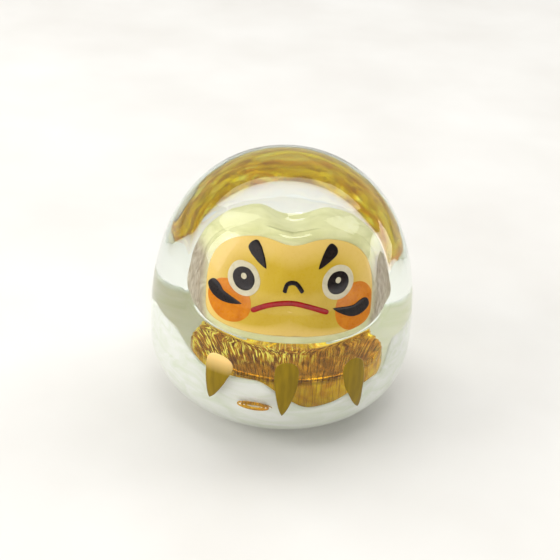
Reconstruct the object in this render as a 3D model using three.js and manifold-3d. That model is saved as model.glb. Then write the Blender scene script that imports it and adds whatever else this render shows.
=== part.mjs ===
// A small daruma doll of solid glass, 44 mm wide. Crumpled gold foil lies low inside it, in a
// bowl of milky glass whose foot is part of the flat base.
// Millimetres, +Z up, the face towards -Y, the origin in the middle of the base.
// Left and right are as seen from the front: left is -X.
import * as THREE from 'three';
import { mergeVertices } from 'three/addons/utils/BufferGeometryUtils.js';
import Module from 'manifold-3d';

const wasm = await Module();
wasm.setup();

// Egg-shaped body: two superellipse quarters that meet at the belly, cut flat at the base.
const BODY_RADIUS = 22;
const BELLY_Z = 13;
const CROWN_RISE = 29.8;
const CROWN_POWER = 2.32;
const SKIRT_POWER = 2.54;
const BASE_RADIUS = 11;
const SKIRT_DROP = BELLY_Z / (1 - (BASE_RADIUS / BODY_RADIUS) ** SKIRT_POWER) ** (1 / SKIRT_POWER);
const BODY_SIDES = 60;
const CROWN_RINGS = 15;
const SKIRT_RINGS = 6;

// Milky glass bowl inside the body. It follows the skirt, and its foot comes out at the base. Its
// rim is uneven: each pair is an azimuth, 0 in front and 90 degrees to the right, and a height.
const BOWL_DEPTH = 2;
const BOWL_WALL = 0.8;
const BOWL_FLOOR_Z = 3.2;
const BOWL_RINGS = 5;
const RIM = [
  [-180, 8.5], [-125, 8.5], [-75, 17.4], [-58, 17.4], [-34, 13.5], [-13, 13.5],
  [12, 8.9], [16, 8.9], [48, 12], [56, 17.1], [75, 17.1], [125, 8.5], [180, 8.5],
];
const FOOT_RADIUS = 8;
const FOOT_HEIGHT = 1.6;

// Clear glass core on the bowl's floor, with the foil wrapped round it: a low drum with a round
// lower edge. The foil's end laps out over the bowl's floor to the rear; the right half of the
// lap's outline, seen from above, is given in X and Y.
const CORE_X = 0.85;
const CORE_RADIUS = 9.9;
const CORE_CORNER = 3.9;
const CORE_TOP_Z = 9.9;
const CORE_EDGE = 0.9;
const CORE_DOME_RISE = 0.3;
const CORE_RINGS = 4;
const FOIL_THICKNESS = 0.25;
const LAP_OUTLINE = [[3, 5.9], [6.9, 12.2], [6.2, 13.4], [3.4, 16.8]];
const LAP_WIDEST_Y = 12.2;
const LAP_TOP_Z = 8;
const INNER_SIDES = 36;

// Milky glass pad behind the face, and the clear room round each fused-in piece of glass.
const PAD_REAR_Y = -8;
const PAD_MARGIN = 1.2;
const PAD_FLARE_LEFT = 1.2;
const PAD_FLARE_RIGHT = 1.36;
const CLEARANCE = 0.3;

// Face outline: a high round forehead over a squarer jaw, with a shallow dip in the top edge.
const FACE_HALF_WIDTH = 12.35;
const FACE_MIDDLE_Z = 27;
const FOREHEAD_RISE = 9.4;
const FOREHEAD_POWER = 3;
const JAW_DROP = 3.9;
const JAW_POWER = 4.4;
const FACE_DIP = 0.9;
const FACE_DIP_WIDTH = 3;
const FACE_OUTLINE_POINTS = 56;

// Enamel coats, outermost first: how deep each one's outer side lies under the body's surface.
const COAT = 0.15;
const COAT_STEP = 0.2;
const GLINT_DEPTH = 0;
const BLACK_DEPTH = GLINT_DEPTH + COAT_STEP;
const WHITE_DEPTH = BLACK_DEPTH + COAT_STEP;
const CHEEK_DEPTH = WHITE_DEPTH + COAT_STEP;
const FACE_DEPTH = CHEEK_DEPTH + COAT_STEP;
const PAD_DEPTH = FACE_DEPTH + COAT_STEP;
const BELLY_DEPTH = 0;
const BELLY_SEAT_DEPTH = 0.3;
const BELLY_SEAT_MARGIN = 0.1;

// Eyes, seen from the front.
const EYE_X = 6.85;
const EYE_Z = 30.6;
const WHITE_RADIUS_X = 2.35;
const WHITE_RADIUS_Z = 2.3;
const PUPIL_RADIUS_X = 1.6;
const PUPIL_RADIUS_Z = 1.55;
const GLINT_RADIUS = 0.4;
const GLINT_RISE = 0.35;

const FRONT_Y = -BODY_RADIUS - 1;

function point(x, z) {
  return new THREE.Vector2(x, z);
}

// One ring of the body's profile, moved straight in from the surface by the inset.
function superellipseRing(angle, radius, rise, power, inset) {
  const across = Math.max(Math.cos(angle), 0) ** (2 / power);
  const along = Math.sin(angle) ** (2 / power);
  const normal = point(across ** (power - 1) / radius, along ** (power - 1) / rise).normalize();
  return point(radius * across, rise * along).addScaledVector(normal, -inset);
}

// How far round the skirt's curve, from the belly down, a height lies.
function skirtAngle(z, drop) {
  return Math.asin(((BELLY_Z - z) / drop) ** (SKIRT_POWER / 2));
}

// The body's profile from the middle of the base up to the crown.
function bodyProfile(inset) {
  const baseAngle = skirtAngle(0, SKIRT_DROP);
  const rings = [];
  for (let i = 0; i < SKIRT_RINGS; i += 1) {
    const angle = baseAngle * (1 - i / SKIRT_RINGS);
    const ring = superellipseRing(angle, BODY_RADIUS, SKIRT_DROP, SKIRT_POWER, inset);
    rings.push(point(ring.x, BELLY_Z - ring.y));
  }
  for (let i = 0; i < CROWN_RINGS; i += 1) {
    const angle = (Math.PI / 2) * (i / CROWN_RINGS);
    const ring = superellipseRing(angle, BODY_RADIUS, CROWN_RISE, CROWN_POWER, inset);
    rings.push(point(ring.x, BELLY_Z + ring.y));
  }
  const crown = point(0, BELLY_Z + CROWN_RISE - inset);
  return [point(0, rings[0].y), ...rings, crown];
}

// Solids for cutting and joining.
function solidOf(geometry) {
  geometry.deleteAttribute('normal');
  geometry.deleteAttribute('uv');
  const merged = mergeVertices(geometry);
  return new wasm.Manifold(new wasm.Mesh({
    numProp: 3,
    vertProperties: new Float32Array(merged.attributes.position.array),
    triVerts: new Uint32Array(merged.index.array),
  }));
}

function revolve(profile, sides) {
  return new THREE.LatheGeometry(profile, sides).rotateX(Math.PI / 2);
}

// A round whose profile changes with the azimuth: 0 in front, 90 degrees to the right.
function unevenRound(profileAt) {
  const round = revolve(profileAt(0), INNER_SIDES);
  const places = round.attributes.position;
  for (let side = 0; side <= INNER_SIDES; side += 1) {
    const degrees = (360 * side) / INNER_SIDES;
    const turn = THREE.MathUtils.degToRad(degrees);
    const profile = profileAt(degrees > 180 ? degrees - 360 : degrees);
    profile.forEach((corner, ring) => {
      const vertex = side * profile.length + ring;
      places.setXYZ(vertex, corner.x * Math.sin(turn), -corner.x * Math.cos(turn), corner.y);
    });
  }
  return solidOf(round);
}

// An outline drawn in X and Z, made solid along Y between the two depths. With flares, its sides
// get wider along X towards the rear.
function prism(outline, frontY, rearY, leftFlare = 1, rightFlare = 1) {
  const shape = new THREE.Shape(outline);
  const geometry = new THREE.ExtrudeGeometry(shape, { depth: rearY - frontY, bevelEnabled: false });
  geometry.rotateX(Math.PI / 2).translate(0, rearY, 0);
  const places = geometry.attributes.position;
  for (let i = 0; i < places.count; i += 1) {
    const share = (places.getY(i) - frontY) / (rearY - frontY);
    const flare = places.getX(i) > 0 ? rightFlare : leftFlare;
    places.setX(i, places.getX(i) * (1 + (flare - 1) * share));
  }
  return solidOf(geometry);
}

function bodySolid(inset) {
  return solidOf(revolve(bodyProfile(inset), BODY_SIDES));
}

// A curved skin: what lies under the outline, between two depths below the body's surface.
function skin(outline, depth, thickness) {
  const layer = bodySolid(depth).subtract(bodySolid(depth + thickness));
  return layer.intersect(prism(outline, FRONT_Y, 0));
}

// Outlines.
function faceOutline(margin) {
  const outline = [];
  for (let i = 0; i < FACE_OUTLINE_POINTS; i += 1) {
    const angle = (2 * Math.PI * i) / FACE_OUTLINE_POINTS;
    const cosine = Math.cos(angle);
    const sine = Math.sin(angle);
    const power = sine > 0 ? FOREHEAD_POWER : JAW_POWER;
    const height = sine > 0 ? FOREHEAD_RISE + margin : -JAW_DROP - margin;
    const x = (FACE_HALF_WIDTH + margin) * Math.sign(cosine) * Math.abs(cosine) ** (2 / power);
    const z = FACE_MIDDLE_Z + height * Math.abs(sine) ** (2 / power);
    const dip = sine > 0 ? FACE_DIP * Math.exp(-((x / FACE_DIP_WIDTH) ** 2)) : 0;
    outline.push(point(x, z - dip));
  }
  return outline;
}

function ellipse(x, z, radiusX, radiusZ = radiusX) {
  const sides = 24;
  return new THREE.EllipseCurve(x, z, radiusX, radiusZ).getPoints(sides).slice(0, sides);
}

// A brush stroke along a smooth curve through the points. Its half width at each part of its
// length comes from the profile, and both its ends close on the curve.
function brushStroke(points, halfWidth, profile) {
  const steps = 16;
  const curve = new THREE.SplineCurve(points.map(([x, z]) => point(x, z)));
  const oneSide = [];
  const otherSide = [];
  for (let i = 0; i <= steps; i += 1) {
    const part = (1 - Math.cos((Math.PI * i) / steps)) / 2;
    const middle = curve.getPoint(part);
    const along = curve.getTangent(part);
    const reach = halfWidth * profile(part);
    oneSide.push(point(middle.x - along.y * reach, middle.y + along.x * reach));
    if (i > 0 && i < steps) {
      otherSide.unshift(point(middle.x + along.y * reach, middle.y - along.x * reach));
    }
  }
  return [...oneSide, ...otherSide];
}

// Half-width profiles: a drop is round at its start and pointed at its end, a line is even.
const DROP_ROUNDING = 0.28;
const LINE_ROUNDING = 0.06;

function roundEnd(part, rounding) {
  const share = Math.min(part / rounding, 1);
  return Math.sqrt(1 - (1 - share) ** 2);
}

function drop(part) {
  const taper = Math.cos((Math.PI / 2) * Math.max(part - DROP_ROUNDING, 0) / (1 - DROP_ROUNDING));
  return roundEnd(part, DROP_ROUNDING) * taper;
}

function line(part) {
  return roundEnd(part, LINE_ROUNDING) * roundEnd(1 - part, LINE_ROUNDING);
}

// Milky bowl: a solid foot, and a wall that follows the body at a depth, up to the rim.
function wallRadius(depth, z) {
  const rise = z > BELLY_Z ? CROWN_RISE : SKIRT_DROP;
  const power = z > BELLY_Z ? CROWN_POWER : SKIRT_POWER;
  const along = Math.abs(z - BELLY_Z) / (rise - depth);
  return (BODY_RADIUS - depth) * (1 - along ** power) ** (1 / power);
}

function wallCurve(depth, lowZ, highZ) {
  const curve = [];
  for (let i = 0; i <= BOWL_RINGS; i += 1) {
    const z = THREE.MathUtils.lerp(lowZ, highZ, (i / BOWL_RINGS) ** 1.6);
    curve.push(point(wallRadius(depth, z), z));
  }
  return curve;
}

function rimHeight(azimuth) {
  const next = Math.max(RIM.findIndex(([place]) => place >= azimuth), 1);
  const [[start, startZ], [end, endZ]] = [RIM[next - 1], RIM[next]];
  return THREE.MathUtils.lerp(startZ, endZ, THREE.MathUtils.smoothstep(azimuth, start, end));
}

function bowlSolid(room, startZ) {
  return unevenRound((azimuth) => {
    const rimZ = rimHeight(azimuth) + room;
    const floorZ = BOWL_FLOOR_Z + room;
    return [
      point(0, startZ),
      point(FOOT_RADIUS + room, startZ),
      ...wallCurve(BOWL_DEPTH - room, FOOT_HEIGHT - room, rimZ),
      ...wallCurve(BOWL_DEPTH + BOWL_WALL + room, floorZ, rimZ).reverse(),
      point(0, floorZ),
    ];
  });
}

// The drum that the core and its foil share, grown by the room.
function drum(room, startZ) {
  const floorZ = BOWL_FLOOR_Z + CLEARANCE;
  const lowAngle = Math.PI / 6;
  const profile = [point(0, startZ)];
  for (let i = 0; i <= CORE_RINGS; i += 1) {
    const angle = THREE.MathUtils.lerp(lowAngle, Math.PI / 2, i / CORE_RINGS);
    const radius = CORE_RADIUS + room - CORE_CORNER * (1 - Math.sin(angle));
    const z = floorZ + CORE_CORNER * (Math.cos(lowAngle) - Math.cos(angle));
    if (i === 0 && startZ < z) profile.push(point(radius, startZ));
    profile.push(point(radius, z));
  }
  profile.push(point(CORE_RADIUS + room, CORE_TOP_Z + room - CORE_EDGE));
  profile.push(point(CORE_RADIUS + room - CORE_EDGE, CORE_TOP_Z + room));
  profile.push(point(0, CORE_TOP_Z + room + CORE_DOME_RISE));
  return solidOf(revolve(profile, INNER_SIDES).translate(CORE_X, 0, 0));
}

function glassCore() {
  return drum(0, BOWL_FLOOR_Z + CLEARANCE);
}

// What lies inside the bowl below a height, at a distance from its wall and floor.
function bowlInside(room) {
  const curve = wallCurve(BOWL_DEPTH + BOWL_WALL + room, BOWL_FLOOR_Z + room, LAP_TOP_Z);
  return solidOf(revolve([point(0, curve[0].y), ...curve, point(0, LAP_TOP_Z)], INNER_SIDES));
}

// A layer on the bowl's floor and wall behind the drum, between two distances from the bowl.
function lapLayer(nearRoom, farRoom, margin) {
  const right = LAP_OUTLINE.map(([x, y]) => point(x + margin, y > LAP_WIDEST_Y ? y + margin : y - margin));
  const left = right.map(({ x, y }) => point(-x, y)).reverse();
  const outline = new THREE.Shape([...right, ...left]);
  const patch = new THREE.ExtrudeGeometry(outline, { depth: LAP_TOP_Z, bevelEnabled: false });
  return bowlInside(nearRoom).subtract(bowlInside(farRoom)).intersect(solidOf(patch));
}

// Gold foil: a thin shell over the core, open on the bowl's floor, with its lap at the rear.
function goldFoil() {
  const over = drum(CLEARANCE + FOIL_THICKNESS, BOWL_FLOOR_Z + CLEARANCE);
  const lap = lapLayer(CLEARANCE, CLEARANCE + FOIL_THICKNESS, 0);
  return over.add(lap).subtract(drum(CLEARANCE, BOWL_FLOOR_Z));
}

// The room for the core and its foil goes down into the bowl's room.
function foilRoom() {
  const room = 2 * CLEARANCE + FOIL_THICKNESS;
  return drum(room, BOWL_FLOOR_Z).add(lapLayer(0, room, CLEARANCE));
}

// The pad's outline widened to the rear, up to a depth below the body's surface.
function flaredPad(margin, rearY, depth) {
  const pad = prism(faceOutline(margin), FRONT_Y, rearY, PAD_FLARE_LEFT, PAD_FLARE_RIGHT);
  return bodySolid(depth).intersect(pad);
}

function facePad() {
  return flaredPad(PAD_MARGIN, PAD_REAR_Y, PAD_DEPTH);
}

// Clear casing: the whole body, less the rooms for the face, the bowl, the foil and the belly
// strokes. The bowl's room opens in the base.
function glassCasing(bellyOutlines) {
  const roomMargin = PAD_MARGIN + CLEARANCE;
  const opening = prism(faceOutline(roomMargin), FRONT_Y, PAD_REAR_Y);
  const padRoom = flaredPad(roomMargin, PAD_REAR_Y + CLEARANCE, PAD_DEPTH - CLEARANCE);
  const bowlRoom = bowlSolid(CLEARANCE, -1);
  let casing = bodySolid(0).subtract(opening.add(padRoom)).subtract(bowlRoom).subtract(foilRoom());
  for (const outline of bellyOutlines(BELLY_SEAT_MARGIN)) {
    const seat = prism(outline, FRONT_Y, 0).subtract(bodySolid(BELLY_SEAT_DEPTH));
    casing = casing.subtract(seat);
  }
  return casing;
}

// Gold strokes on the belly, drawn from the round top down to the pointed tip.
const BELLY_STROKES = {
  left: { points: [[-9.6, 17.9], [-10.4, 14.6], [-11.4, 9.4]], halfWidth: 2.0 },
  middle: { points: [[0.2, 18.6], [0.2, 14], [0, 8.5]], halfWidth: 1.9 },
  right: { points: [[10.4, 18.1], [11.1, 13.5], [12.2, 8.1]], halfWidth: 1.7 },
};

function bellyOutlines(margin) {
  const strokes = Object.values(BELLY_STROKES);
  return strokes.map(({ points, halfWidth }) => brushStroke(points, halfWidth + margin, drop));
}

// Black strokes and the mouth on the face.
const BROWS = {
  left: { points: [[-5.9, 35.4], [-5.0, 34.2], [-3.7, 32.4]], halfWidth: 0.95 },
  right: { points: [[6.3, 35.2], [5.3, 34.2], [3.9, 32.6]], halfWidth: 0.9 },
};
const CHEEK_STROKES = {
  left: { points: [[-11.6, 29.2], [-10.1, 27.6], [-7.0, 27.1]], halfWidth: 0.95 },
  right: { points: [[11.7, 27.3], [9.6, 26.3], [6.3, 27.1]], halfWidth: 1.0 },
};
const NOSE = { points: [[-0.95, 29.5], [-0.5, 30.7], [0.7, 30.8], [1.75, 29.6]], halfWidth: 0.3 };
const MOUTH = {
  points: [[-5.6, 26.4], [-3.0, 27.6], [0, 28.1], [2.8, 27.6], [5.7, 26.6]],
  halfWidth: 0.33,
};
const CHEEKS = {
  left: { x: -8.8, z: 27.1, radiusX: 3.2, radiusZ: 3.0 },
  right: { x: 9.6, z: 26.8, radiusX: 2.9, radiusZ: 3.5 },
};

function stroke({ points, halfWidth }, profile, depth) {
  return skin(brushStroke(points, halfWidth, profile), depth, COAT);
}

// Colour, roughness and metalness of each material.
const CLEAR_GLASS = { color: 0xe8efe6, roughness: 0.03, metalness: 0 };
const MILKY_GLASS = { color: 0xd3dbae, roughness: 0.2, metalness: 0 };
const GOLD_FOIL = { color: 0xd9a21b, roughness: 0.25, metalness: 1 };
const GOLD_ENAMEL = { color: 0x9c8a2a, roughness: 0.35, metalness: 0.6 };
const TAN_ENAMEL = { color: 0xd9b35c, roughness: 0.2, metalness: 0 };
const ORANGE_ENAMEL = { color: 0xd9791a, roughness: 0.2, metalness: 0 };
const WHITE_ENAMEL = { color: 0xf0ede0, roughness: 0.15, metalness: 0 };
const BLACK_ENAMEL = { color: 0x15110f, roughness: 0.12, metalness: 0 };
const RED_ENAMEL = { color: 0x9c1218, roughness: 0.2, metalness: 0 };

const doll = new THREE.Group();

function addMesh(name, solid, finish) {
  const { vertProperties, triVerts } = solid.getMesh();
  const geometry = new THREE.BufferGeometry();
  geometry.setAttribute('position', new THREE.BufferAttribute(vertProperties, 3));
  geometry.setIndex(new THREE.BufferAttribute(triVerts, 1));
  const mesh = new THREE.Mesh(geometry, new THREE.MeshStandardMaterial(finish));
  mesh.name = name;
  doll.add(mesh);
}

addMesh('glass_casing', glassCasing(bellyOutlines), CLEAR_GLASS);
addMesh('milky_bowl', bowlSolid(0, 0), MILKY_GLASS);
addMesh('glass_core', glassCore(), CLEAR_GLASS);
addMesh('gold_foil', goldFoil(), GOLD_FOIL);
addMesh('face_pad', facePad(), MILKY_GLASS);
addMesh('face_enamel', skin(faceOutline(0), FACE_DEPTH, COAT), TAN_ENAMEL);
addMesh('nose', stroke(NOSE, line, BLACK_DEPTH), BLACK_ENAMEL);
addMesh('mouth', stroke(MOUTH, line, BLACK_DEPTH), RED_ENAMEL);

for (const [side, direction] of [['left', -1], ['right', 1]]) {
  const eyeX = direction * EYE_X;
  const cheek = CHEEKS[side];
  const cheekOutline = ellipse(cheek.x, cheek.z, cheek.radiusX, cheek.radiusZ);
  const cheekSkin = skin(cheekOutline, CHEEK_DEPTH, COAT);
  const white = ellipse(eyeX, EYE_Z, WHITE_RADIUS_X, WHITE_RADIUS_Z);
  const pupil = ellipse(eyeX, EYE_Z, PUPIL_RADIUS_X, PUPIL_RADIUS_Z);
  const glint = ellipse(eyeX, EYE_Z + GLINT_RISE, GLINT_RADIUS);
  addMesh(`cheek_${side}`, cheekSkin.intersect(prism(faceOutline(0), FRONT_Y, 0)), ORANGE_ENAMEL);
  addMesh(`eye_white_${side}`, skin(white, WHITE_DEPTH, COAT), WHITE_ENAMEL);
  addMesh(`pupil_${side}`, skin(pupil, BLACK_DEPTH, COAT), BLACK_ENAMEL);
  addMesh(`glint_${side}`, skin(glint, GLINT_DEPTH, COAT), WHITE_ENAMEL);
  addMesh(`brow_${side}`, stroke(BROWS[side], drop, BLACK_DEPTH), BLACK_ENAMEL);
  addMesh(`cheek_stroke_${side}`, stroke(CHEEK_STROKES[side], drop, BLACK_DEPTH), BLACK_ENAMEL);
}

for (const [side, bellyStroke] of Object.entries(BELLY_STROKES)) {
  addMesh(`belly_stroke_${side}`, stroke(bellyStroke, drop, BELLY_DEPTH), GOLD_ENAMEL);
}

export default doll;
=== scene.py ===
import math

import bmesh
import bpy
from mathutils import Matrix, Vector, noise


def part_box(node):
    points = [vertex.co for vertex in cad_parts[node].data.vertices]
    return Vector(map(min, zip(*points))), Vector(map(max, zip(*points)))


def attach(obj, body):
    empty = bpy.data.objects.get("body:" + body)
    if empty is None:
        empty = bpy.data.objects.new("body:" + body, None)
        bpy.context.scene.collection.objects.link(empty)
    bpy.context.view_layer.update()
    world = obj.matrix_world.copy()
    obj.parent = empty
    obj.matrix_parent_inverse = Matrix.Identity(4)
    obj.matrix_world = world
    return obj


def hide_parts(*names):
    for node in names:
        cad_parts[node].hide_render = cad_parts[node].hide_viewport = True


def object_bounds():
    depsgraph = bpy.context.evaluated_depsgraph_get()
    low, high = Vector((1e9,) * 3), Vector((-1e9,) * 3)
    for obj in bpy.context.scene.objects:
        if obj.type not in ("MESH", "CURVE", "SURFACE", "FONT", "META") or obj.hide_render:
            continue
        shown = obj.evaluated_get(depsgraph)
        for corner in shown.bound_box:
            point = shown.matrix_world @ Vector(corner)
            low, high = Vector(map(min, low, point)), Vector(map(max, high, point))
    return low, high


# A small daruma doll of solid glass. Lengths are in millimetres until a mesh or a light is made.
# The face looks along -Y, and left and right are as seen from the front.

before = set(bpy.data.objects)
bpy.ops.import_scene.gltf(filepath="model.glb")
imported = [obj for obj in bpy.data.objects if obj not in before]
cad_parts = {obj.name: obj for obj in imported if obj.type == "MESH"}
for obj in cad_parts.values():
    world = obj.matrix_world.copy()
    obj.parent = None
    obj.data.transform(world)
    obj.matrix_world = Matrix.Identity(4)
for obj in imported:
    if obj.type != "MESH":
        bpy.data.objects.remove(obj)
cad_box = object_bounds()

MM = 0.001


def node_box(node):
    """A CAD node's lowest and highest corners, in millimetres."""
    low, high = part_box(node)
    return low / MM, high / MM


# The body's curve: two superellipse quarters that meet at the belly, as in the CAD body.
BODY_RADIUS = (cad_box[1].x - cad_box[0].x) / 2 / MM
BODY_HEIGHT = (cad_box[1].z - cad_box[0].z) / MM
BELLY_Z = 13
CROWN_POWER = 2.32
SKIRT_POWER = 2.54
BASE_RADIUS = 11
SKIRT_DROP = BELLY_Z / (1 - (BASE_RADIUS / BODY_RADIUS) ** SKIRT_POWER) ** (1 / SKIRT_POWER)

# The glass stays a little inside the CAD body, so that the raised enamel fits in its box.
GLASS_INSET = 0.12
GLASS_RADIUS = BODY_RADIUS - GLASS_INSET
CROWN_RISE = BODY_HEIGHT - GLASS_INSET - BELLY_Z
BASE_ROUNDING = 0.5

# The face's outline: a high round forehead over a squarer jaw, with a dip in its top edge.
face_low, face_high = node_box("face_enamel")
FACE_HALF_WIDTH = (face_high.x - face_low.x) / 2
JAW_DROP = 3.9
FACE_MIDDLE_Z = face_low.z + JAW_DROP
FOREHEAD_RISE = 9.4
FOREHEAD_POWER = 3
JAW_POWER = 4.4
FACE_DIP = 0.9
FACE_DIP_WIDTH = 3
PAD_MARGIN = 1.2

# The glass swells a little over the pad and has a crease round it.
SWELL = 0.4
SWELL_EDGE = 1.4
CREASE = 0.12
CREASE_PLACE = 1.7
CREASE_WIDTH = 0.6
CHIN_SHARE = 0.35

# The bowl's wall follows the body at a depth. Its rim is a list of azimuths, in degrees from the
# front towards the right, and heights.
BOWL_DEPTH = 2
BOWL_WALL = 0.8
BOWL_BOTTOM_Z = 1.3
BOWL_FLOOR_Z = 3.2
RIM = [(-180, 8.5), (-125, 8.5), (-75, 17.4), (-58, 17.4), (-34, 13.5), (-13, 13.5),
       (12, 8.9), (16, 8.9), (48, 12), (56, 17.1), (75, 17.1), (125, 8.5), (180, 8.5)]
RIM_RIPPLE = 0.15
RIM_RIPPLE_ANGLE = 9

# The pad behind the face widens to the rear, and its shoulders rise.
PAD_REAR_Y = node_box("face_pad")[1].y
PAD_FLARE_LEFT = 1.2
PAD_FLARE_RIGHT = 1.36
PAD_DEPTH = 0.25
PAD_REAR_DEPTH = 1.0
PAD_ROUNDING = 1.2
PAD_SHOULDER_RISE = 1.1
FACE_HEART = (0.0, FACE_MIDDLE_Z + 1.5)

# The foil is a low drum a little above the bowl's floor. Its lap goes to the rear, between two
# angles in degrees from +Y towards -X.
FOIL_X = 0.85
FOIL_RADIUS = 10.45
FOIL_FLOOR_RADIUS = 6.0
FOIL_CLEARANCE = 0.2
FOIL_FLOOR_Z = BOWL_FLOOR_Z + FOIL_CLEARANCE
FOIL_TOP_Z = 10.5
FOIL_DOME_RISE = 0.3
FOIL_EDGE = 0.5
LAP_THICKNESS = 0.25
LAP_START_RADIUS = 8.5
LAP_SIDE_REACH = 14.5
LAP_MIDDLE_REACH = 3.1
LAP_FIRST_ANGLE = -34
LAP_LAST_ANGLE = 36

# Each coat of enamel: the height over the glass at which it starts, and its thickness. Its
# underside is sunk a little.
GROUND_LIFT = (0.0, 0.06)
CHEEK_LIFT = (0.06, 0.04)
EYE_WHITE_LIFT = (0.1, 0.04)
FACE_STROKE_LIFT = (0.1, 0.05)
PUPIL_LIFT = (0.14, 0.04)
GLINT_LIFT = (0.18, 0.03)
BELLY_STROKE_LIFT = (0.0, 0.08)
SINK = 0.04
CHEEK_HALF_WIDTHS = {"left": 3.2, "right": 2.9}

# The floor's size in metres, and each softbox's azimuth, elevation, distance, width, height and
# brightness: the wide one at the left, the one beyond it, the small one over the brow, the one
# over the rear, and the low one at the right. Azimuth 0 is in front, 90 to the right.
FLOOR_SIZE = 8.0
SOFTBOXES = [
    (-46, 27, 0.6, 0.5, 0.46, 2.0),
    (-77, 27, 0.6, 0.3, 0.32, 5.0),
    (14, 70, 0.5, 0.16, 0.05, 8.0),
    (180, 68, 0.6, 1.5, 0.3, 3.0),
    (100, 8, 0.6, 0.4, 0.16, 4.0),
]

# The camera's tilt, its turn and roll, its place from the point it aims at, and its lens.
CAMERA_ELEVATION = math.radians(29.95)
CAMERA_TURN = math.radians(-3.4)
CAMERA_ROLL = math.radians(4.3)
CAMERA_AIM_Z = 22
CAMERA_DISTANCE = 198.3
CAMERA_SIDE = -0.58
CAMERA_RISE = -1.32
LENS_LENGTH = 77.1
FILM_WIDTH = 36


# Shapes ---------------------------------------------------------------------------------------

def smooth_step(low, high, value):
    """A smooth rise from 0 at low to 1 at high. Either end may be the greater."""
    share = min(max((value - low) / (high - low), 0), 1)
    return share * share * (3 - 2 * share)


def mix(first, second, share):
    return first + (second - first) * share


def body_at(z):
    """The glass body's radius at a height, and its surface's outward direction there."""
    rise, power = (CROWN_RISE, CROWN_POWER) if z > BELLY_Z else (SKIRT_DROP, SKIRT_POWER)
    along = min(abs(z - BELLY_Z) / rise, 1)
    across = max(1 - along ** power, 0) ** (1 / power)
    upward = math.copysign(along ** (power - 1) / rise, z - BELLY_Z)
    outward = across ** (power - 1) / GLASS_RADIUS
    return GLASS_RADIUS * across, Vector((outward, upward)).normalized()


def face_distance(x, z):
    """How far outside the face's outline a point is. Inside, it is negative."""
    upper = z > FACE_MIDDLE_Z
    if upper:
        z += FACE_DIP * math.exp(-(x / FACE_DIP_WIDTH) ** 2)
    power = FOREHEAD_POWER if upper else JAW_POWER
    height = FOREHEAD_RISE if upper else JAW_DROP
    z -= FACE_MIDDLE_Z
    least_reach = 0.05
    reach = (abs(x / FACE_HALF_WIDTH) ** power + abs(z / height) ** power) ** (1 / power)
    return math.hypot(x, z) * (1 - 1 / max(reach, least_reach))


def face_relief(x, z):
    """How far the glass stands out over the pad, or in at the crease round it."""
    chin_half_width = 9
    chin_core = 5
    chin_softening = 1.8
    outside = face_distance(x, z) - PAD_MARGIN
    below = smooth_step(FACE_MIDDLE_Z, FACE_MIDDLE_Z - JAW_DROP, z)
    chin = smooth_step(chin_half_width, chin_core, abs(x)) * below
    edge = SWELL_EDGE * mix(1, chin_softening, chin)
    swell = SWELL * (1 - smooth_step(-edge / 2, edge, outside))
    crease = CREASE * math.exp(-((outside - CREASE_PLACE) / CREASE_WIDTH) ** 2)
    return swell - crease * mix(1, CHIN_SHARE, chin)


def on_body(x, z, lift=0.0):
    """A point on the front of the glass over x and z, moved out from it by the lift."""
    radius, slope = body_at(z)
    y = -math.sqrt(max(radius ** 2 - x ** 2, 0))
    outward = Vector((slope.x * x / radius, slope.x * y / radius, slope.y))
    return Vector((x, y, z)) + outward * (lift + face_relief(x, z))


def loft(name, loops, material):
    """A closed mesh through loops of points. The first and the last loop enclose no area."""
    same_place = 1e-7
    count = len(loops[0])
    corners = [point * MM for loop in loops for point in loop]
    faces = []
    for row in range(len(loops) - 1):
        for k in range(count):
            here = row * count
            following = (k + 1) % count
            faces.append((here + k, here + following, here + count + following, here + count + k))
    mesh = bpy.data.meshes.new(name)
    mesh.from_pydata(corners, [], faces)
    work = bmesh.new()
    work.from_mesh(mesh)
    bmesh.ops.remove_doubles(work, verts=work.verts, dist=same_place)
    bmesh.ops.recalc_face_normals(work, faces=work.faces)
    work.to_mesh(mesh)
    work.free()
    mesh.shade_smooth()
    mesh.materials.append(material)
    piece = bpy.data.objects.new(name, mesh)
    bpy.context.scene.collection.objects.link(piece)
    return piece


def belongs(piece, slot, *nodes):
    """The piece rides on the doll and stands for the CAD nodes, which it hides. The slot is not used.
    """
    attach(piece, "root")
    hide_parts(*nodes)


# Materials ------------------------------------------------------------------------------------

def colour(red, green, blue):
    """A colour given as display values from 0 to 255, as the linear values that shaders take."""
    shares = [value / 255 for value in (red, green, blue)]
    linear = [s / 12.92 if s <= 0.04045 else ((s + 0.055) / 1.055) ** 2.4 for s in shares]
    return (*linear, 1)


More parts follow.
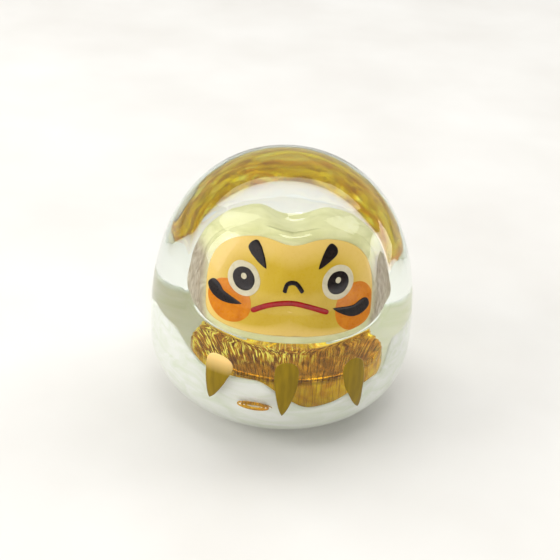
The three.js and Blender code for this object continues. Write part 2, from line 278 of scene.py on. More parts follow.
class Finish:
    """A material built round one Principled shader, with helpers for its nodes."""

    def __init__(self, name, **sockets):
        self.material = bpy.data.materials.new(name)
        self.material.use_nodes = True
        self.tree = self.material.node_tree
        self.shader = self.tree.nodes["Principled BSDF"]
        for socket, value in sockets.items():
            self.shader.inputs[socket.replace("_", " ")].default_value = value

    def node(self, kind, **settings):
        made = self.tree.nodes.new("ShaderNode" + kind)
        for setting, value in settings.items():
            setattr(made, setting, value)
        return made

    def link(self, source, target):
        self.tree.links.new(source, target)

    def fill(self, socket, value):
        """Sets a socket to a value, or links it to another node's output."""
        if isinstance(value, bpy.types.NodeSocket):
            self.link(value, socket)
        else:
            socket.default_value = value

    def place(self, stretch=(1, 1, 1)):
        """The place on the object in millimetres, stretched along the axes."""
        mapping = self.node("Mapping")
        mapping.inputs["Scale"].default_value = [share / MM for share in stretch]
        self.link(self.node("TexCoord").outputs["Object"], mapping.inputs["Vector"])
        return mapping.outputs["Vector"]

    def axes(self):
        """The X, Y and Z of the place on the object, in millimetres."""
        apart = self.node("SeparateXYZ")
        self.link(self.place(), apart.inputs["Vector"])
        return [apart.outputs[axis] for axis in "XYZ"]

    def noise(self, size, detail=3.0, stretch=(1, 1, 1), distortion=0.0):
        """Soft noise whose features are about the size given, in millimetres."""
        texture = self.node("TexNoise")
        texture.inputs["Scale"].default_value = 1 / size
        texture.inputs["Detail"].default_value = detail
        texture.inputs["Distortion"].default_value = distortion
        self.link(self.place(stretch), texture.inputs["Vector"])
        return texture.outputs["Fac"]

    def ramp(self, factor, *stops):
        """Blends colours along the factor. Each stop is a place from 0 to 1 and a colour."""
        blend = self.node("ValToRGB")
        elements = blend.color_ramp.elements
        while len(elements) < len(stops):
            elements.new(0.5)
        for element, (place, tint) in zip(elements, stops):
            element.position = place
            element.color = tint
        self.link(factor, blend.inputs["Fac"])
        return blend.outputs["Color"]

    def span(self, factor, low, high, from_low=0.0, from_high=1.0):
        """Moves a value from one range to another."""
        scale = self.node("MapRange")
        self.link(factor, scale.inputs["Value"])
        for socket, value in (("From Min", from_low), ("From Max", from_high),
                              ("To Min", low), ("To Max", high)):
            scale.inputs[socket].default_value = value
        return scale.outputs["Result"]

    def blend(self, factor, first, second, how="MIX"):
        made = self.node("MixRGB", blend_type=how)
        self.fill(made.inputs["Fac"], factor)
        self.fill(made.inputs["Color1"], first)
        self.fill(made.inputs["Color2"], second)
        return made.outputs["Color"]

    def attribute(self, name):
        return self.node("Attribute", attribute_name=name).outputs["Fac"]

    def bump(self, height, depth):
        """Bumps of a depth in millimetres."""
        made = self.node("Bump")
        made.inputs["Distance"].default_value = depth * MM
        self.link(height, made.inputs["Height"])
        return made.outputs["Normal"]

    def wear(self, **sockets):
        """Links the shader's sockets to node outputs."""
        for socket, source in sockets.items():
            self.link(source, self.shader.inputs[socket.replace("_", " ")])
        return self.material


def clear_glass():
    """Clear glass that takes up a little red and blue light over its depth, with a slow flow."""
    density_per_metre = 6.0
    finish = Finish("clear_glass", Base_Color=(1, 1, 1, 1), Transmission_Weight=1.0, IOR=1.43,
                    Roughness=0.0)
    depth = finish.node("VolumeAbsorption")
    depth.inputs["Color"].default_value = colour(212, 240, 214)
    depth.inputs["Density"].default_value = density_per_metre
    finish.link(depth.outputs["Volume"], finish.tree.nodes["Material Output"].inputs["Volume"])
    flow = finish.noise(7.0, detail=2.0, stretch=(1, 1, 0.5))
    return finish.wear(Normal=finish.bump(flow, 0.05))


def milky_glass(name, pale, deep, streak_size):
    """Opal glass with soft flow streaks that run along X."""
    finish = Finish(name, Roughness=0.3, Specular_IOR_Level=0.2)
    streaks = finish.noise(streak_size, detail=4.0, stretch=(0.35, 1, 1.6), distortion=1.2)
    tint = finish.ramp(streaks, (0.3, deep), (0.62, pale))
    return finish, tint


def bowl_glass():
    finish, tint = milky_glass("milky_bowl_glass", colour(252, 253, 246), colour(236, 241, 222), 3.0)
    return finish.wear(Base_Color=tint)


def pad_glass():
    """Pale green in front and on top, with greyish brown painted shade and painted reflection of the
    gold on the flanks.
    """
    finish, front = milky_glass("milky_pad_glass", colour(248, 247, 196), colour(228, 228, 166), 2.6)
    # Painted shade on the flanks: a mottled greyish brown that stands for their dimmer light and the
    # gold they reflect.
    shade_mottle = finish.noise(1.8, detail=4.0, stretch=(1, 1, 0.6), distortion=1.5)
    flank_shade = finish.ramp(shade_mottle, (0.3, colour(160, 140, 112)), (0.5, colour(198, 184, 158)),
                        (0.7, colour(226, 218, 202)))
    return finish.wear(Base_Color=finish.blend(finish.attribute("flank_shade"), front, flank_shade))


def leaf_zones(finish):
    """How far a place is at the leaf's rear, on the drum's wall, and in the zone under the chin,
    strongest at the left, where painted glints go.
    """
    across, back, up = finish.axes()
    rear = finish.span(back, 0.0, 1.0, 4.0, 8.0)
    wall = finish.span(up, 1.0, 0.0, FOIL_TOP_Z - 1.2, FOIL_TOP_Z - 0.3)
    under_chin = finish.span(back, 0.0, 1.0, -7.0, -2.5)
    leftward = finish.span(across, 1.0, 0.25, 0.0, 5.0)
    return rear, wall, finish.blend(1.0, under_chin, leftward, how="MULTIPLY")


def leaf_tint(finish, rear, wall):
    """Gold with painted shade: brown gold on the drum's lid, which lies under the pad, and brighter
    gold on its wall and at the rear.
    """
    patches = finish.noise(2.2, detail=3.0, stretch=(1, 0.6, 1), distortion=0.8)
    shaded_lid_tint = finish.ramp(patches, (0.35, colour(146, 94, 0)), (0.65, colour(212, 154, 0)))
    wall_tint = finish.ramp(patches, (0.35, colour(226, 156, 0)), (0.65, colour(255, 206, 24)))
    rear_tint = finish.ramp(patches, (0.35, colour(244, 180, 0)), (0.6, colour(255, 228, 10)))
    return finish.blend(rear, finish.blend(wall, shaded_lid_tint, wall_tint), rear_tint)


def gold_leaf():
    """Crumpled leaf: fine pleats along Y and Z in front, small creases to the rear. Its colour
    carries painted shade in the creases and painted glints.
    """
    finish = Finish("gold_leaf", Specular_Tint=colour(255, 206, 30))
    black = colour(0, 0, 0)
    white = colour(255, 255, 255)
    rear, wall, painted_glint_zone = leaf_zones(finish)
    lit = finish.blend(rear, wall, white)
    fine = finish.noise(0.15, detail=1.0, stretch=(1, 0.05, 0.05))
    dashes = finish.noise(0.3, detail=1.0, stretch=(1, 0.12, 0.12))
    pleats = finish.blend(0.3, fine, dashes)
    creases = finish.noise(0.8, detail=3.0)
    relief = finish.blend(rear, pleats, creases)
    # Painted shade in the creases and pleats: full on the lid, weaker where lit is high, on the wall
    # and at the rear.
    shadow = finish.ramp(relief, (0.36, colour(160, 120, 20)), (0.5, white))
    depth = finish.span(lit, 1.0, 0.6)
    tone = finish.blend(depth, leaf_tint(finish, rear, wall), shadow, how="MULTIPLY")
    # Painted glints: pale yellow streaks along the pleats in the zone under the chin, and flecks
    # among the creases at the rear.
    streaks = finish.ramp(pleats, (0.53, black), (0.6, white))
    glint_flecks = finish.ramp(creases, (0.57, black), (0.63, white))
    glints = finish.blend(rear, finish.blend(1.0, painted_glint_zone, streaks, how="MULTIPLY"), glint_flecks)
    shade = finish.blend(glints, tone, colour(255, 240, 104))
    rough = finish.span(rear, 0.16, 0.4)
    shine = finish.span(finish.blend(lit, glints, white), 0.9, 0.35)
    return finish.wear(Base_Color=shade, Roughness=rough, Metallic=shine,
                       Normal=finish.bump(relief, 0.2))


def enamel(name, low, high, size):
    """Glossy fired enamel whose colour drifts between two tints."""
    finish = Finish(name, Specular_IOR_Level=0.12, Coat_Weight=0.25, Coat_Roughness=0.04)
    drift = finish.noise(size, detail=4.0, distortion=0.4)
    tint = finish.ramp(drift, (0.3, low), (0.7, high))
    rough = finish.span(finish.noise(0.4), 0.22, 0.4, 0.3, 0.7)
    film = finish.bump(finish.noise(1.1, detail=2.0), 0.02)
    return finish, tint, rough, film


def plain_enamel(name, low, high, size):
    finish, tint, rough, film = enamel(name, low, high, size)
    return finish.wear(Base_Color=tint, Roughness=rough, Normal=film)


def face_enamel():
    """Tan, deeper in the middle of the face and paler towards its edge, partly as the enamel's own
    colour and partly as painted sheen.
    """
    finish, tint, rough, film = enamel("tan_enamel", colour(176, 144, 34), colour(190, 160, 52), 5.0)
    pale = finish.span(finish.attribute("edge"), 0.0, 0.65, 0.35, 1.0)
    shade = finish.blend(pale, tint, colour(218, 186, 112))
    return finish.wear(Base_Color=shade, Roughness=rough, Normal=film)


def gold_enamel():
    """Satin olive gold with the fine streaks of the brush, and a pale cream painted reflection at the
    left stroke's top.
    """
    finish = Finish("gold_enamel", Metallic=0.4, Specular_IOR_Level=0.2, Coat_Weight=0.2,
                    Coat_Roughness=0.15)
    strokes = finish.noise(0.7, detail=4.0, stretch=(1, 1, 0.15))
    tint = finish.ramp(strokes, (0.2, colour(112, 90, 0)), (0.8, colour(146, 120, 2)))
    across, _, up = finish.axes()
    # The painted reflection: the left stroke's top is blended to pale cream.
    left = finish.span(across, 1.0, 0.0, -8.0, -6.0)
    top = finish.span(up, 0.0, 1.0, 14.6, 17.4)
    thin = finish.blend(1.0, left, top, how="MULTIPLY")
    tone = finish.blend(thin, tint, colour(238, 200, 128))
    rough = finish.span(strokes, 0.28, 0.5, 0.3, 0.7)
    return finish.wear(Base_Color=tone, Roughness=rough, Normal=finish.bump(strokes, 0.03))


def floor_paper():
    finish = Finish("floor", Roughness=0.75)
    cloud = finish.noise(40.0, detail=3.0)
    tint = finish.ramp(cloud, (0.3, colour(212, 209, 203)), (0.7, colour(221, 219, 214)))
    return finish.wear(Base_Color=tint)


# The glass body -------------------------------------------------------------------------------

def circle(sides):
    """Points round a circle with a radius of 1."""
    turns = [2 * math.pi * k / sides for k in range(sides)]
    return [Vector((math.cos(turn), math.sin(turn), 0)) for turn in turns]


def glass_body(material):
    """The outer surface of the clear glass, with its swelling over the face."""
    sides = 360
    skirt_rings = 60
    crown_rings = 130
    wave = 0.03
    wave_size = 9.0
    calm_z = 3
    heights = []
    for i in range(skirt_rings):
        angle = math.pi / 2 * (1 - i / skirt_rings)
        heights.append(BELLY_Z - SKIRT_DROP * math.sin(angle) ** (2 / SKIRT_POWER))
    for i in range(crown_rings + 1):
        angle = math.pi / 2 * (i / crown_rings)
        heights.append(BELLY_Z + CROWN_RISE * math.sin(angle) ** (2 / CROWN_POWER))
    lowest = rounded_up(heights[0])
    loops = []
    for z in heights:
        radius, slope = body_at(z)
        loop = []
        for point in circle(sides):
            place = Vector((point.x * radius, point.y * radius, z))
            outward = Vector((point.x * slope.x, point.y * slope.x, slope.y))
            lift = wave * noise.noise(place / wave_size)
            if place.y < 0:
                lift += face_relief(place.x, place.z)
            place += outward * lift * smooth_step(0, calm_z, z)
            place.z = rounded_up(place.z) - lowest if z < BELLY_Z else place.z
            loop.append(place)
        loops.append(loop)
    piece = loft("glass_body", loops, material)
    belongs(piece, "clear_glass", "glass_casing", "glass_core")


def rounded_up(z):
    """Lifts what would lie below the base up to it, with a rounded edge."""
    return (z + math.sqrt(z * z + BASE_ROUNDING ** 2)) / 2


# Milky bowl, pad and foil inside the glass -----------------------------------------------------

def bowl_rim(azimuth):
    """The height of the bowl's uneven rim. Azimuth is in degrees, 0 in front, 90 to the right."""
    ripple = RIM_RIPPLE * noise.noise(Vector((azimuth / RIM_RIPPLE_ANGLE, 0, 0)))
    for (start, start_z), (end, end_z) in zip(RIM, RIM[1:]):
        if azimuth <= end:
            return mix(start_z, end_z, smooth_step(start, end, azimuth)) + ripple


def wall_radius(depth, z):
    """The radius of the bowl's wall at a height, which follows the body at a depth."""
    rise, power = (CROWN_RISE, CROWN_POWER) if z > BELLY_Z else (SKIRT_DROP, SKIRT_POWER)
    along = min(abs(z - BELLY_Z) / (rise - depth), 1)
    return (BODY_RADIUS - depth) * (1 - along ** power) ** (1 / power)


def milky_bowl(material):
    """A shallow bowl under the foil, with a soft uneven rim."""
    sides = 240
    rings = 40
    rim_steps = 6
    crowding = 1.6
    turns = [math.radians(360 * k / sides) for k in range(sides)]
    rims = [bowl_rim((math.degrees(turn) + 270) % 360 - 180) for turn in turns]

    def wall(depth, bottom_z, share):
        loop = []
        for turn, rim in zip(turns, rims):
            z = mix(bottom_z, rim, share ** crowding)
            radius = wall_radius(depth, z)
            loop.append(Vector((radius * math.cos(turn), radius * math.sin(turn), z)))
        return loop

    def disc(edge, z, shares):
        return [[Vector((p.x * share, p.y * share, z)) for p in edge] for share in shares]

    outside = [wall(BOWL_DEPTH, BOWL_BOTTOM_Z, i / rings) for i in range(rings + 1)]
    inside = [wall(BOWL_DEPTH + BOWL_WALL, BOWL_FLOOR_Z, 1 - i / rings) for i in range(rings + 1)]
    rim_loops = []
    for i in range(1, rim_steps):
        turn = math.pi * i / rim_steps
        lift = Vector((0, 0, BOWL_WALL / 2 * math.sin(turn)))
        share = (1 - math.cos(turn)) / 2
        rim_loops.append([mix(a, b, share) + lift for a, b in zip(outside[-1], inside[0])])
    underside = disc(outside[0], BOWL_BOTTOM_Z, (0, 0.5))
    floor_loops = disc(inside[-1], BOWL_FLOOR_Z, (0.5, 0))
    loops = underside + outside + rim_loops + inside + floor_loops
    belongs(loft("milky_glass_bowl", loops, material), "milky_glass", "milky_bowl")


def face_outline(margin, count):
    """Points round the face's outline, moved out by the margin."""
    outline = []
    for i in range(count):
        angle = 2 * math.pi * i / count
        cosine, sine = math.cos(angle), math.sin(angle)
        upper = sine > 0
        power = FOREHEAD_POWER if upper else JAW_POWER
        height = FOREHEAD_RISE + margin if upper else -JAW_DROP - margin
        x = (FACE_HALF_WIDTH + margin) * math.copysign(abs(cosine) ** (2 / power), cosine)
        z = FACE_MIDDLE_Z + height * abs(sine) ** (2 / power)
        dip = FACE_DIP * math.exp(-(x / FACE_DIP_WIDTH) ** 2) if upper else 0
        outline.append((x, z - dip))
    return outline


def shrunk(outline, share, middle):
    return [(mix(middle[0], x, share), mix(middle[1], z, share)) for x, z in outline]


def face_pad(material):
    """The milky glass behind the face: curved in front, with flanks that flare to the rear."""
    count = 240
    front_rings = 24
    flank_rings = 30
    rear_rings = 8
    rear_shrinking = 0.1
    outline = face_outline(PAD_MARGIN, count)
    loops = []
    for i in range(front_rings + 1):
        ring = shrunk(outline, i / front_rings, FACE_HEART)
        loops.append([on_body(x, z, -PAD_DEPTH) for x, z in ring])
    edge = loops[-1]
    for i in range(1, flank_rings + 1):
        share = i / flank_rings
        loop = []
        for point in edge:
            y = mix(point.y, PAD_REAR_Y - PAD_ROUNDING, share)
            loop.append(flank_point(point, y))
        loops.append(loop)
    last = loops[-1]
    for i in range(1, rear_rings + 1):
        turn = math.pi / 2 * i / rear_rings
        back = PAD_ROUNDING * math.sin(turn)
        inward = 1 - rear_shrinking * (1 - math.cos(turn))
        loops.append([Vector((p.x * inward, p.y + back, mix(FACE_HEART[1], p.z, inward)))
                      for p in last])
    loops.append([Vector((FACE_HEART[0], PAD_REAR_Y, FACE_HEART[1]))] * count)
    piece = loft("milky_face_pad", loops, material)
    mark_shaded_flanks(piece)
    belongs(piece, "milky_glass", "face_pad")


def flank_point(point, y):
    """Where the pad's edge comes to at a depth y, with its flare and slow waves."""
    wave_height = 0.12
    wave_size = 2.5
    front_y = -BODY_RADIUS - 1
    share = (y - front_y) / (PAD_REAR_Y - front_y)
    start = (point.y - front_y) / (PAD_REAR_Y - front_y)
    widening = (PAD_FLARE_RIGHT if point.x > 0 else PAD_FLARE_LEFT) - 1
    flare = (1 + widening * share) / (1 + widening * start)
    inward = y - point.y
    ripple = noise.noise(Vector((point.x, y, point.z)) / wave_size)
    wave = wave_height * ripple * smooth_step(0, 2, inward)
    height = point.z - FACE_MIDDLE_Z
    shoulder = smooth_step(1, 5, abs(point.x)) * smooth_step(4, 8, height)
    behind = smooth_step(0, 3, inward)
    z = point.z + wave + PAD_SHOULDER_RISE * shoulder * share * behind
    cover = mix(PAD_DEPTH, PAD_REAR_DEPTH, behind)
    widest = math.sqrt(max((body_at(z)[0] - cover) ** 2 - y ** 2, 0))
    x = min(abs(point.x) * flare * (1 + wave / 8), widest)
    return Vector((math.copysign(x, point.x), y, z))


def mark_shaded_flanks(piece):
    """Marks how far each corner of the pad is on its left or right flank, where the pad takes its
    painted shade.
    """
    flank_shade = piece.data.attributes.new("flank_shade", "FLOAT", "POINT")
    for corner, value in zip(piece.data.vertices, flank_shade.data):
        x, z = abs(corner.co.x) / MM, corner.co.z / MM
        sideways = abs(corner.normal.x)
        out = smooth_step(0.35, 0.8, sideways) * smooth_step(11.5, 13, x)
        value.value = out * (1 - smooth_step(31, 34, z))


def crumple(place):
    """How far the foil stands out at a place: pleats along Y in front, creases behind."""
    pleats_per_mm = 2.1
    pleat_height = 0.07
    pleat_drift = 0.3
    front_crease = 0.03
    rear_crease = 0.2
    crease_size = 1.5
    wrinkle_size = 0.6
    wrinkle_share = 0.4
    front = 1 - smooth_step(3, 8, place.y)
    drift = noise.noise(Vector((place.x, place.y * 0.25, place.z * 0.25)) / 2)
    pleat = 1 - 4 * abs((place.x * pleats_per_mm + pleat_drift * drift) % 1 - 0.5)
    breaks = noise.noise(Vector((place.x * 1.7, place.y * 0.8, place.z * 0.8)))
    wrinkle = noise.noise(place / wrinkle_size) * wrinkle_share
    crease = 1 - 3 * abs(noise.noise(place / crease_size)) + wrinkle
    folds = front * pleat * (0.5 + 0.5 * breaks) * pleat_height
    return folds + mix(rear_crease, front_crease, front) * crease


def foil_profile():
    """Radius and height round the foil, from the middle of its floor to the middle of its top."""
    floor_steps = 20
    corner_steps = 30
    wall_steps = 20
    edge_steps = 8
    lid_steps = 100
    corner = FOIL_RADIUS - FOIL_FLOOR_RADIUS
    corner_z = FOIL_FLOOR_Z + corner
    edge_radius = FOIL_RADIUS - FOIL_EDGE
    edge_z = FOIL_TOP_Z - FOIL_EDGE
    profile = [(FOIL_FLOOR_RADIUS * i / floor_steps, FOIL_FLOOR_Z) for i in range(floor_steps)]
    for i in range(corner_steps):
        turn = math.pi / 2 * i / corner_steps
        radius = FOIL_FLOOR_RADIUS + corner * math.sin(turn)
        profile.append((radius, corner_z - corner * math.cos(turn)))
    profile += [(FOIL_RADIUS, mix(corner_z, edge_z, i / wall_steps)) for i in range(wall_steps)]
    for i in range(edge_steps):
        turn = math.pi / 2 * i / edge_steps
        radius = edge_radius + FOIL_EDGE * math.cos(turn)
        profile.append((radius, edge_z + FOIL_EDGE * math.sin(turn)))
    for i in range(lid_steps + 1):
        share = 1 - i / lid_steps
        profile.append((edge_radius * share, FOIL_TOP_Z + FOIL_DOME_RISE * (1 - share ** 2)))
    return profile


def gold_foil(material):
    """Crumpled gold leaf round the core, in the shape of a low drum with a round lower edge."""
    sides = 420
    heart = Vector((FOIL_X, 0, (FOIL_FLOOR_Z + FOIL_TOP_Z) / 2))
    loops = []
    for radius, z in foil_profile():
        loop = []
        for turn in circle(sides):
            place = Vector((FOIL_X + turn.x * radius, turn.y * radius, z))
            outward = place - heart
            outward.z *= 2
            loop.append(place + outward.normalized() * crumple(place) * smooth_step(0, 2, radius))
        loops.append(loop)
    belongs(loft("crumpled_gold_foil", loops, material), "gold_foil", "gold_foil")


def lap_reach(angle):
    """How far the foil's lap goes from the axis. Its middle goes the farthest."""
    near_first, near_last = -28, 20
    far_outer_first, far_outer_last = -20, 22
    far_first, far_last = -6, 6
    near = (smooth_step(LAP_LAST_ANGLE, near_last, angle)
            * smooth_step(LAP_FIRST_ANGLE, near_first, angle))
    far = (smooth_step(far_outer_last, far_last, angle)
           * smooth_step(far_outer_first, far_first, angle))
    return mix(LAP_START_RADIUS + 1, LAP_SIDE_REACH, near) + LAP_MIDDLE_REACH * far


def lap_point(radius, angle, lift):
    """A point of the lap, which lies on the bowl's floor and goes a little up its wall."""
    wall = BODY_RADIUS - BOWL_DEPTH - BOWL_WALL
    drop = SKIRT_DROP - BOWL_DEPTH - BOWL_WALL
    along = max(1 - (radius / wall) ** SKIRT_POWER, 0) ** (1 / SKIRT_POWER)
    z = max(BOWL_FLOOR_Z, BELLY_Z - drop * along) + FOIL_CLEARANCE + lift
    turn = math.radians(angle)
    return Vector((-radius * math.sin(turn), radius * math.cos(turn), z))


def drawn_together(loop):
    """The loop with all its points at their middle."""
    return [sum(loop, Vector()) / len(loop)] * len(loop)


def foil_lap(material):
    """The end of the leaf, which laps out from under the drum over the bowl's floor to the rear."""
    angle_steps = 150
    radius_steps = 80
    deepest_crease = -0.15
    loops = []
    for i in range(angle_steps + 1):
        angle = mix(LAP_FIRST_ANGLE, LAP_LAST_ANGLE, i / angle_steps)
        reach = lap_reach(angle)
        radii = [mix(LAP_START_RADIUS, reach, k / radius_steps) for k in range(radius_steps + 1)]
        under = [lap_point(radius, angle, 0) for radius in radii]
        over = [lap_point(radius, angle, LAP_THICKNESS) for radius in radii]
        for sheet in (under, over):
            for point in sheet:
                point.z += max(crumple(point), deepest_crease)
        loops.append(under + over[::-1])
    loops = [drawn_together(loops[0])] + loops + [drawn_together(loops[-1])]
    belongs(loft("gold_foil_lap", loops, material), "gold_foil", "gold_foil")


def foil_curl(material):
    """A stray curl of leaf between the bowl and the front of the glass: three tight turns.

    Each section lies in the plane of the turns, so the curl is nearly flat and its turns cross.
    """
    turns = 3
    steps = 120
    sides = 12
    middle = Vector((-4.3, 0, 9.6))
    half_width = 2.8
    half_height = 0.75
    thickness = 0.2
    flatness = 0.6
    last_size = 0.35
    taper = 0.3
    depth = 1.0
    loops = []
    for i in range(steps + 1):
        share = i / steps
        angle = 2 * math.pi * turns * share
        size = mix(1, last_size, share)
        x = middle.x + half_width * size * math.cos(angle)
        z = middle.z + half_height * size * math.sin(angle)
        radius = body_at(z)[0] - depth
        core = Vector((x, -math.sqrt(radius ** 2 - x ** 2), z))
        thin = thickness * math.sin(math.pi * share) ** taper
        loops.append([core + Vector((p.x * flatness, 0, p.y)) * thin for p in circle(sides)])
    belongs(loft("gold_foil_curl", loops, material), "gold_foil", "gold_foil")


# Enamel on the glass --------------------------------------------------------------------------

def coat(node, centre, reach, lift, material, rings=14, sides=72):
    """A round coat of enamel. reach gives its outline's distance from the centre at an angle."""
    edge_power = 6
    bottom, thickness = lift
    turns = [2 * math.pi * k / sides for k in range(sides)]
    top, under = [], []
    for i in range(rings + 1):
        share = math.sin(math.pi / 2 * i / rings)
        height = bottom + thickness * max(1 - share ** edge_power, 0) ** 0.5
        ring = [(centre[0] + share * reach(turn) * math.cos(turn),
                 centre[1] + share * reach(turn) * math.sin(turn)) for turn in turns]
        top.append([on_body(x, z, height) for x, z in ring])
        under.append([on_body(x, z, bottom - SINK) for x, z in ring])
    return loft("painted_" + node, top + under[::-1], material)


def hand(seed, angle):
    """The small unevenness of an outline painted by hand."""
    amount = 0.03
    lobes = 1.5
    around = Vector((math.cos(angle) * lobes, math.sin(angle) * lobes, seed * 10))
    return 1 + amount * noise.noise(around)


def ellipse_reach(half_x, half_z, seed):
    def reach(angle):
        plain = 1 / math.hypot(math.cos(angle) / half_x, math.sin(angle) / half_z)
        return plain * hand(seed, angle)
    return reach


def spline(points, share):
    """A point along a smooth curve through the points."""
    spans = len(points) - 1
    place = min(share * spans, spans - 1e-6)
    k = int(place)
    t = place - k
    ends = [points[max(k - 1, 0)], points[k], points[k + 1], points[min(k + 2, spans)]]
    a, b, c, d = (Vector(p) for p in ends)
    return 0.5 * (2 * b + (c - a) * t + (2 * a - 5 * b + 4 * c - d) * t ** 2
                  + (3 * b - a - 3 * c + d) * t ** 3)


def round_end(part, rounding):
    share = min(part / rounding, 1)
    return math.sqrt(1 - (1 - share) ** 2)


def drop(part):
    """Half width of a stroke that is round at its start and pointed at its end."""
    rounding = 0.28
    taper = math.cos(math.pi / 2 * max(part - rounding, 0) / (1 - rounding))
    return round_end(part, rounding) * max(taper, 0)


def line(part):
    """Half width of a stroke that is even from end to end."""
    rounding = 0.06
    return round_end(part, rounding) * round_end(1 - part, rounding)


def stroke(node, shares, half_width, profile, lift, material, seed):
    """A brush stroke along a curve. Its points are shares of its CAD node's box, in X and Z."""
    low, high = node_box(node)
    points = [(mix(low.x, high.x, u), mix(low.z, high.z, v)) for u, v in shares]
    bottom, thickness = lift
    steps = 60
    across = 12
    near = 0.01
    edge_power = 4
    waver = 0.06
    wavers = 5
    loops = []
    for i in range(steps + 1):
        part = (1 - math.cos(math.pi * i / steps)) / 2
        middle = spline(points, part)
        along = spline(points, min(part + near, 1)) - spline(points, max(part - near, 0))
        along.normalize()
        unevenness = 1 + waver * noise.noise(Vector((part * wavers, seed * 7.0, 0)))
        width = half_width * profile(part) * unevenness
        rounded = min(max(width, 0) / half_width * 2, 1) ** 0.5
        top, under = [], []
        for k in range(across + 1):
            side = -math.cos(math.pi * k / across)
            x = middle.x - along.y * side * width
            z = middle.y + along.x * side * width
            height = bottom + thickness * rounded * max(1 - side ** edge_power, 0) ** 0.5
            top.append(on_body(x, z, height))
            under.append(on_body(x, z, bottom - SINK))
        loops.append(top + under[::-1])
    return loft("painted_" + node, loops, material)


# Each stroke's points, its half width and its profile.
FACE_STROKES = {
    "brow_left": ([(0.18, 0.91), (0.51, 0.55), (1.0, 0.0)], 0.95, drop),
    "brow_right": ([(0.88, 0.88), (0.51, 0.54), (0.0, 0.0)], 0.9, drop),
    "cheek_stroke_left": ([(0.08, 0.92), (0.38, 0.33), (1.0, 0.14)], 0.95, drop),
    "cheek_stroke_right": ([(0.97, 0.8), (0.59, 0.38), (0.0, 0.72)], 1.0, drop),
    "nose": ([(0.08, 0.02), (0.22, 0.71), (0.61, 0.77), (0.95, 0.08)], 0.3, line),
}
MOUTH_STROKES = {
    "mouth": ([(0.0, 0.07), (0.23, 0.62), (0.5, 0.85), (0.74, 0.62), (1.0, 0.16)], 0.37, line),
}
BELLY_STROKES = {
    "belly_stroke_left": ([(0.61, 0.99), (0.42, 0.6), (0.18, 0.0)], 2.0, drop),
    "belly_stroke_middle": ([(0.5, 1.0), (0.5, 0.54), (0.44, 0.0)], 1.9, drop),
    "belly_stroke_right": ([(0.39, 1.0), (0.59, 0.54), (0.89, 0.0)], 1.7, drop),
}


def face_ground(material):
    """The tan ground of the face, out to the face's outline."""
    outline = face_outline(0, 240)
    bottom, thickness = GROUND_LIFT
    edge_power = 12
    edge_width = 5
    rings = 40
    top, under = [], []
    for i in range(rings + 1):
        share = math.sin(math.pi / 2 * i / rings)
        ring = shrunk(outline, share, FACE_HEART)
        height = bottom + thickness * max(1 - share ** edge_power, 0) ** 0.5
        top.append([on_body(x, z, height) for x, z in ring])
        under.append([on_body(x, z, bottom - SINK) for x, z in ring])
    piece = loft("painted_face", top + under[::-1], material)
    edge = piece.data.attributes.new("edge", "FLOAT", "POINT")
    for corner, value in zip(piece.data.vertices, edge.data):
        outside = face_distance(corner.co.x / MM, corner.co.z / MM)
        value.value = smooth_step(-edge_width, 0, outside)
    belongs(piece, "tan_enamel", "face_enamel")


def cheek(side, material, seed):
    """An orange cheek: a round spot, cut off at the edge of the face."""
    node = "cheek_" + side
    low, high = node_box(node)
    half_z = (high.z - low.z) / 2
    half_x = CHEEK_HALF_WIDTHS[side]
    centre_x = high.x - half_x if side == "left" else low.x + half_x
    centre = (centre_x, (low.z + high.z) / 2)
    spot = ellipse_reach(half_x, half_z, seed)
    edge_gap = 0.1
    step = 0.99

    def reach(angle):
        distance = spot(angle)
        while face_distance(centre[0] + distance * math.cos(angle),
                            centre[1] + distance * math.sin(angle)) > -edge_gap:
            distance *= step
        return distance

    piece = coat(node, centre, reach, CHEEK_LIFT, material, rings=18, sides=120)
    belongs(piece, "orange_enamel", node)


def eye(side, white, black, seed):
    """An eye: a white, a black pupil and a small white glint."""
    for kind, lift, material, slot in (
        ("eye_white_", EYE_WHITE_LIFT, white, "white_enamel"),
        ("pupil_", PUPIL_LIFT, black, "black_enamel"),
        ("glint_", GLINT_LIFT, white, "white_enamel"),
    ):
        node = kind + side
        low, high = node_box(node)
        middle = (low + high) / 2
        half = (high - low) / 2
        seed += 1
        reach = ellipse_reach(half.x, half.z, seed)
        piece = coat(node, (middle.x, middle.z), reach, lift, material)
        belongs(piece, slot, node)


def paint_strokes(strokes, lift, material, slot, first_seed):
    for seed, (node, (points, half_width, profile)) in enumerate(strokes.items(), first_seed):
        piece = stroke(node, points, half_width, profile, lift, material, seed)
        belongs(piece, slot, node)


def paint():
    """Everything that is painted on the glass."""
    black = plain_enamel("black_enamel", colour(14, 10, 10), colour(34, 24, 20), 0.8)
    white = plain_enamel("white_enamel", colour(178, 168, 138), colour(194, 186, 158), 1.0)
    orange = plain_enamel("orange_enamel", colour(178, 98, 0), colour(196, 118, 0), 1.4)
    red = plain_enamel("red_enamel", colour(128, 0, 0), colour(152, 2, 2), 0.8)
    gold = gold_enamel()
    face_ground(face_enamel())
    for seed, side in enumerate(("left", "right")):
        cheek(side, orange, seed + 1)
        eye(side, white, black, 10 * (seed + 1))
    paint_strokes(FACE_STROKES, FACE_STROKE_LIFT, black, "black_enamel", 0)
    paint_strokes(MOUTH_STROKES, FACE_STROKE_LIFT, red, "red_enamel", 9)
    paint_strokes(BELLY_STROKES, BELLY_STROKE_LIFT, gold, "gold_enamel", 20)


# Floor, light and camera -----------------------------------------------------------------------

def floor():
    bpy.ops.mesh.primitive_plane_add(size=FLOOR_SIZE, location=(0, 0, 0))
    plane = bpy.context.object
    plane.name = "floor"
    plane.data.materials.append(floor_paper())


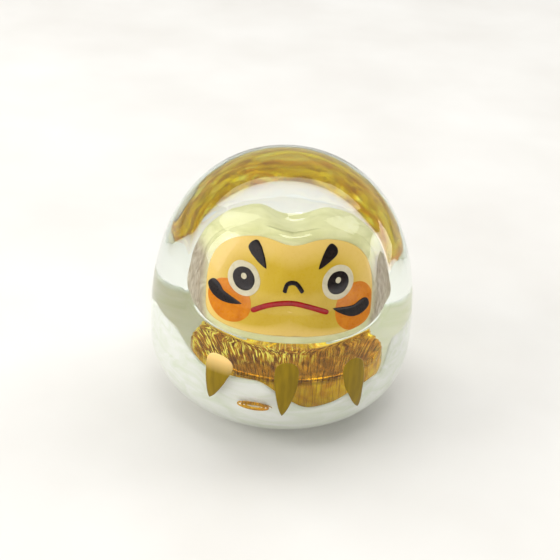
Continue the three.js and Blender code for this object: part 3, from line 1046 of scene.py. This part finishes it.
def softbox(azimuth, elevation, distance, width, height, brightness):
    """A rectangular light aimed at the middle of the doll."""
    turn, lift = math.radians(azimuth), math.radians(elevation)
    aim = Vector((0, 0, BODY_HEIGHT / 2 * MM))
    away = Vector((math.sin(turn) * math.cos(lift), -math.cos(turn) * math.cos(lift), math.sin(lift)))
    lamp = bpy.data.lights.new("softbox", "AREA")
    lamp.shape = "RECTANGLE"
    lamp.size = width
    lamp.size_y = height
    lamp.energy = brightness * math.pi * width * height
    holder = bpy.data.objects.new("softbox", lamp)
    bpy.context.scene.collection.objects.link(holder)
    holder.location = aim + away * distance
    holder.rotation_euler = (-away).to_track_quat("-Z", "Y").to_euler()


def sky_strength(tree):
    """The world's brightness: bright at the horizon, most of all in front, and behind the doll."""
    place = tree.nodes.new("ShaderNodeTexCoord").outputs["Generated"]

    def level(direction, from_low, from_high, low, high):
        """Goes from low to high as a view ray turns towards a direction."""
        along = tree.nodes.new("ShaderNodeVectorMath")
        along.operation = "DOT_PRODUCT"
        tree.links.new(place, along.inputs[0])
        along.inputs[1].default_value = direction
        scale = tree.nodes.new("ShaderNodeMapRange")
        tree.links.new(along.outputs["Value"], scale.inputs["Value"])
        for socket, value in (("From Min", from_low), ("From Max", from_high),
                              ("To Min", low), ("To Max", high)):
            scale.inputs[socket].default_value = value
        return scale.outputs["Result"]

    behind = (0, 1, 0.35)
    in_front = (0.26, -0.97, 0)
    upward = (0, 0, 1)
    room = level(behind, -0.6, 0.8, 0.08, 0.65)
    horizon = level(in_front, 0.5, 0.8, 0.75, 3.2)
    lowness = level(upward, 0.17, 0.24, 1.0, 0.0)
    whole = tree.nodes.new("ShaderNodeMix")
    tree.links.new(lowness, whole.inputs["Factor"])
    tree.links.new(room, whole.inputs["A"])
    tree.links.new(horizon, whole.inputs["B"])
    return whole.outputs["Result"]


def studio():
    """A pale room with its softboxes. It is bright behind the doll and dim above its front."""
    world = bpy.data.worlds.new("studio")
    bpy.context.scene.world = world
    world.use_nodes = True
    background = world.node_tree.nodes["Background"]
    background.inputs["Color"].default_value = (1, 1, 1, 1)
    world.node_tree.links.new(sky_strength(world.node_tree), background.inputs["Strength"])
    for light in SOFTBOXES:
        softbox(*light)
    bpy.context.scene.view_settings.view_transform = "Standard"


def camera():
    """The camera looks down at the middle of the doll, from a little to its left."""
    ahead = Vector((0, math.cos(CAMERA_ELEVATION), -math.sin(CAMERA_ELEVATION)))
    right = Vector((1, 0, 0))
    above = right.cross(ahead)
    middle = Vector((0, 0, CAMERA_AIM_Z))
    place = middle - ahead * CAMERA_DISTANCE + right * CAMERA_SIDE + above * CAMERA_RISE
    lens = bpy.data.cameras.new("camera")
    lens.lens = LENS_LENGTH
    lens.sensor_width = FILM_WIDTH
    lens.clip_start = MM
    holder = bpy.data.objects.new("camera", lens)
    bpy.context.scene.collection.objects.link(holder)
    facing = Matrix((right, above, -ahead)).transposed().to_4x4()
    facing.translation = place * MM
    turn = Matrix.Rotation(CAMERA_TURN, 4, "Z")
    holder.matrix_world = turn @ facing @ Matrix.Rotation(CAMERA_ROLL, 4, "Z")
    bpy.context.scene.camera = holder


camera()
studio()
floor()
glass_body(clear_glass())
milky_bowl(bowl_glass())
face_pad(pad_glass())
leaf = gold_leaf()
gold_foil(leaf)
foil_lap(leaf)
foil_curl(leaf)
paint()
